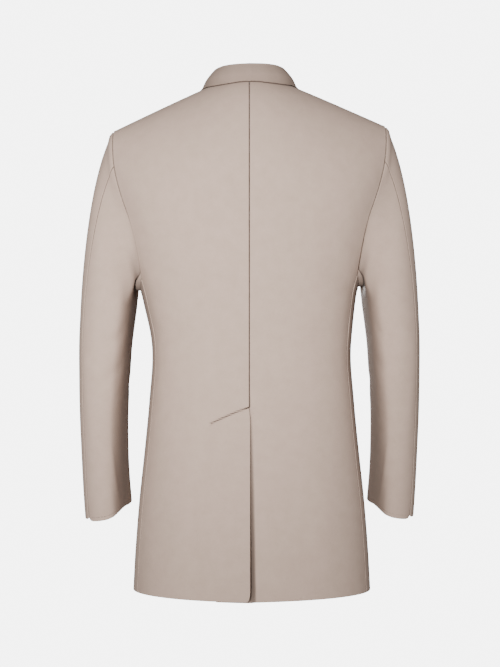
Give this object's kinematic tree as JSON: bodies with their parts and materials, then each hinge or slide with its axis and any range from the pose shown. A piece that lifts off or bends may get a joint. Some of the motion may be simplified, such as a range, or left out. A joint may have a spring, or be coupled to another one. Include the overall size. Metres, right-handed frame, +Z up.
{
  "type": "tailored overcoat",
  "caption": "Mid-thigh tailored overcoat with turned-down collar, set-in sleeves, centre-back seam and vent, filled out as worn.",
  "frame": {"origin": "between the shoulders, midway between the points where the collar's edge crosses the shoulder seams, where the wearer's shoulders hold the coat", "axes": "+Z up, the coat's front faces -Y, the wearer's left is +X"},
  "size_m": [0.5716, 0.2859, 0.881],
  "materials": {
    "wool": "smooth brushed taupe wool, matte with a soft nap",
    "button": "satin dark horn-like plastic"
  },
  "bodies": {
    "root": {"back_left": "wool", "back_right": "wool", "side_left": "wool", "side_right": "wool", "front_left": "wool", "front_right": "wool", "lapel_left": "wool", "lapel_right": "wool", "collar": "wool", "sleeve_top_left": "wool", "sleeve_top_right": "wool", "sleeve_under_left": "wool", "sleeve_under_right": "wool", "button_1": "button", "button_2": "button", "button_3": "button"}
  },
  "joints": []
}
